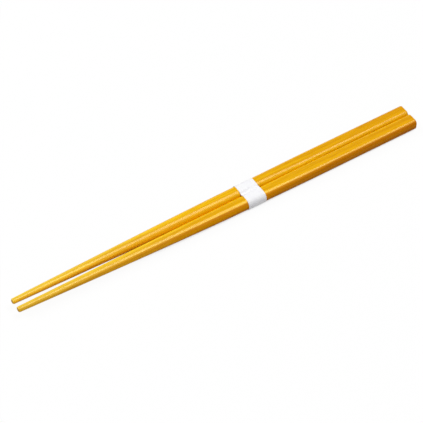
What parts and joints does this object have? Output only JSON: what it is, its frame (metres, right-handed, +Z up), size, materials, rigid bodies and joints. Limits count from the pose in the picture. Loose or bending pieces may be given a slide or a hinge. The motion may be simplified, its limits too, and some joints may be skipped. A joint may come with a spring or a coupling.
{
  "type": "pair of bamboo chopsticks",
  "caption": "Tapered bamboo chopsticks with rounded square handles, lying side by side and held together by a glued white paper band.",
  "frame": {"origin": "middle of the pair's bounding box, on the surface that the paper band lies on", "axes": "+X along the sticks from the tips to the handle ends, +Y across the pair from the left stick to the right one, +Z up"},
  "size_m": [0.24, 0.0156, 0.0071],
  "materials": {
    "bamboo": "lacquered, glossy, with a fine straight grain",
    "paper": "matte"
  },
  "bodies": {
    "root": {"chopstick_left": "bamboo", "chopstick_right": "bamboo", "paper_band": "paper"}
  },
  "joints": []
}
